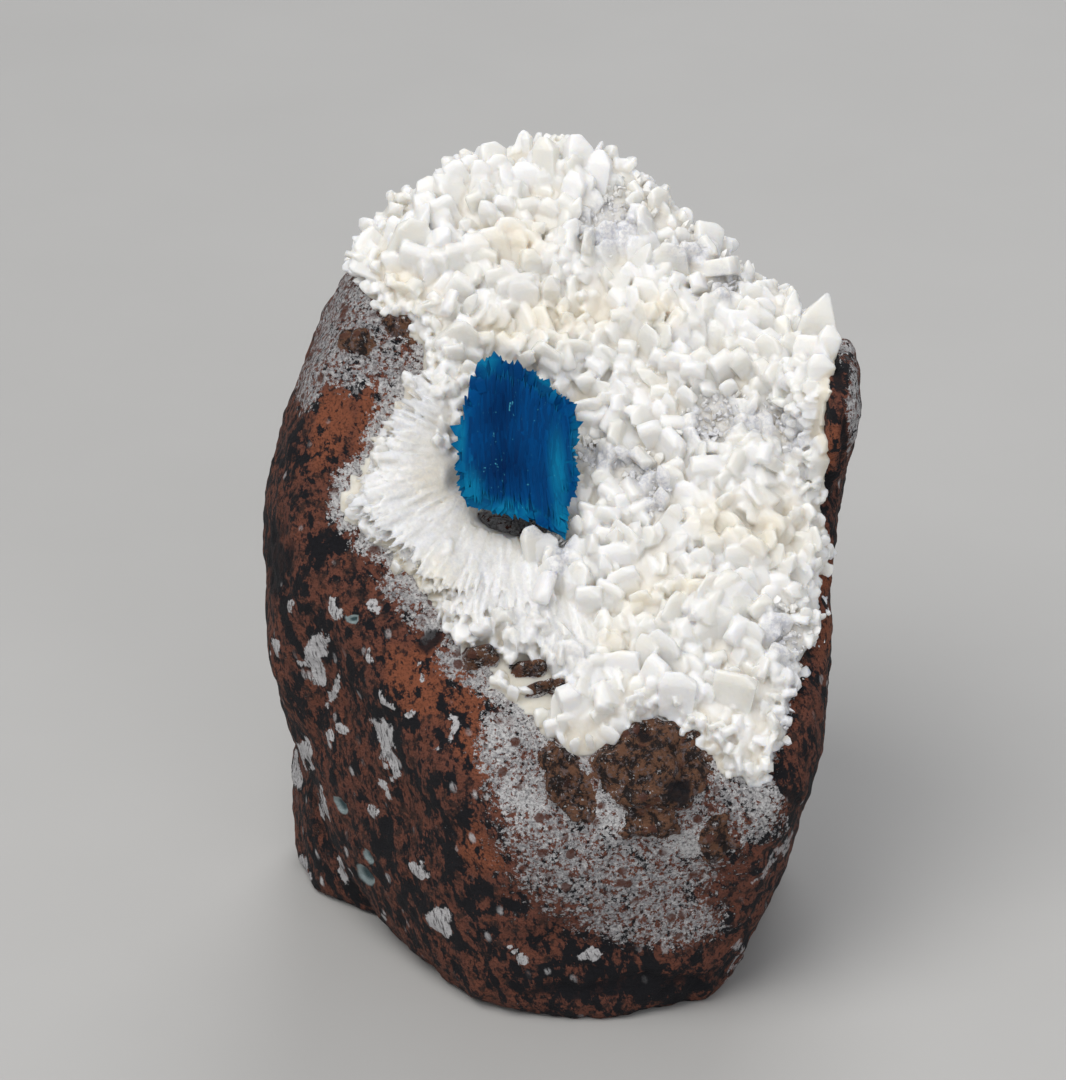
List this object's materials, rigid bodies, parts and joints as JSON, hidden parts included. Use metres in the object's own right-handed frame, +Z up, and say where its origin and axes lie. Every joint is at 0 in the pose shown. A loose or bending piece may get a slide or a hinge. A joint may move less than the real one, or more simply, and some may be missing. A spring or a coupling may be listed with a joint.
{
  "type": "cavansite cluster",
  "caption": "Blue bladed cavansite cluster seated in a white stilbite crust on a tall piece of red vesicular basalt, a display specimen that stands on its flat underside.",
  "frame": {"origin": "middle of the bounding box at the flat underside that the specimen stands on", "axes": "+Z up along the specimen's height, -Y to the front, where the crystal face looks, +X to the viewer's right"},
  "size_m": [0.0424, 0.039, 0.0552],
  "materials": {
    "basalt": "matt brick-red to near-black rock, mottled, with white amygdules and a grey mineral frost",
    "stilbite": "milky white translucent blades with a pearly gloss, cream and bluish grey in places",
    "cavansite": "deep blue glassy blades with teal tips"
  },
  "bodies": {
    "root": {"basalt_matrix": "basalt", "stilbite_crust": "stilbite", "cavansite_cluster": "cavansite"}
  },
  "joints": []
}
